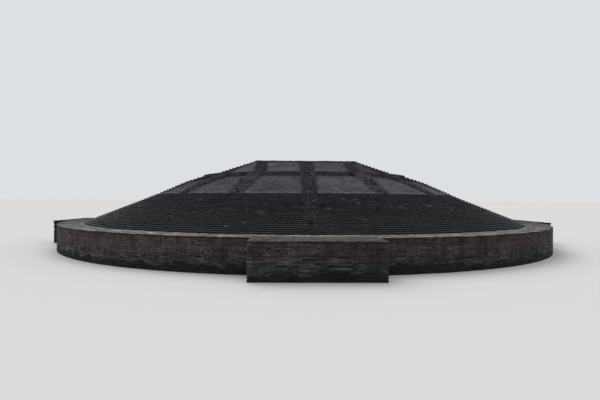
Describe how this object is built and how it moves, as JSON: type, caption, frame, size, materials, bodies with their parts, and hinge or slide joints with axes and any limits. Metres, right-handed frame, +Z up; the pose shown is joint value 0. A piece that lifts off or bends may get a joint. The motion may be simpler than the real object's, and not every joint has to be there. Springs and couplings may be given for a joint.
{
  "type": "low brick stupa with a round drum and stepped dome",
  "caption": "Low round brick stupa: drum with a path, platforms on the axes, a stepped outer wall, and spoke walls up to a flat square summit.",
  "frame": {"origin": "centre of the drum on the ground", "axes": "+Z up, -Y out through the front platform, +X out through the right platform"},
  "size_m": [37.86, 39.26, 6.25],
  "materials": {
    "red_brick": "matt",
    "dark_brick": "matt",
    "grey_fill": "matt",
    "path_brick": "matt"
  },
  "bodies": {
    "root": {"drum_wall_front_right": "red_brick", "drum_wall_back_right": "red_brick", "drum_wall_back_left": "red_brick", "drum_wall_front_left": "red_brick", "path_paving": "path_brick", "platform_front": "red_brick", "platform_right": "red_brick", "platform_back": "red_brick", "platform_left": "red_brick", "platform_coping_front": "path_brick", "platform_coping_right": "path_brick", "platform_coping_back": "path_brick", "platform_coping_left": "path_brick", "outer_wall_front_right": "dark_brick", "outer_wall_back_right": "dark_brick", "outer_wall_back_left": "dark_brick", "outer_wall_front_left": "dark_brick", "spoke_wall_01": "dark_brick", "spoke_wall_02": "dark_brick", "spoke_wall_03": "dark_brick", "spoke_wall_04": "dark_brick", "spoke_wall_05": "dark_brick", "spoke_wall_06": "dark_brick", "spoke_wall_07": "dark_brick", "spoke_wall_08": "dark_brick", "spoke_wall_09": "dark_brick", "spoke_wall_10": "dark_brick", "spoke_wall_11": "dark_brick", "spoke_wall_12": "dark_brick", "spoke_wall_13": "dark_brick", "spoke_wall_14": "dark_brick", "spoke_wall_15": "dark_brick", "spoke_wall_16": "dark_brick", "lower_fill_front_right": "grey_fill", "lower_fill_back_right": "grey_fill", "lower_fill_back_left": "grey_fill", "lower_fill_front_left": "grey_fill", "ring_wall": "dark_brick", "cross_walls": "dark_brick", "upper_fill_front_right": "grey_fill", "upper_fill_back_right": "grey_fill", "upper_fill_back_left": "grey_fill", "upper_fill_front_left": "grey_fill", "summit_paving": "dark_brick"}
  },
  "joints": []
}
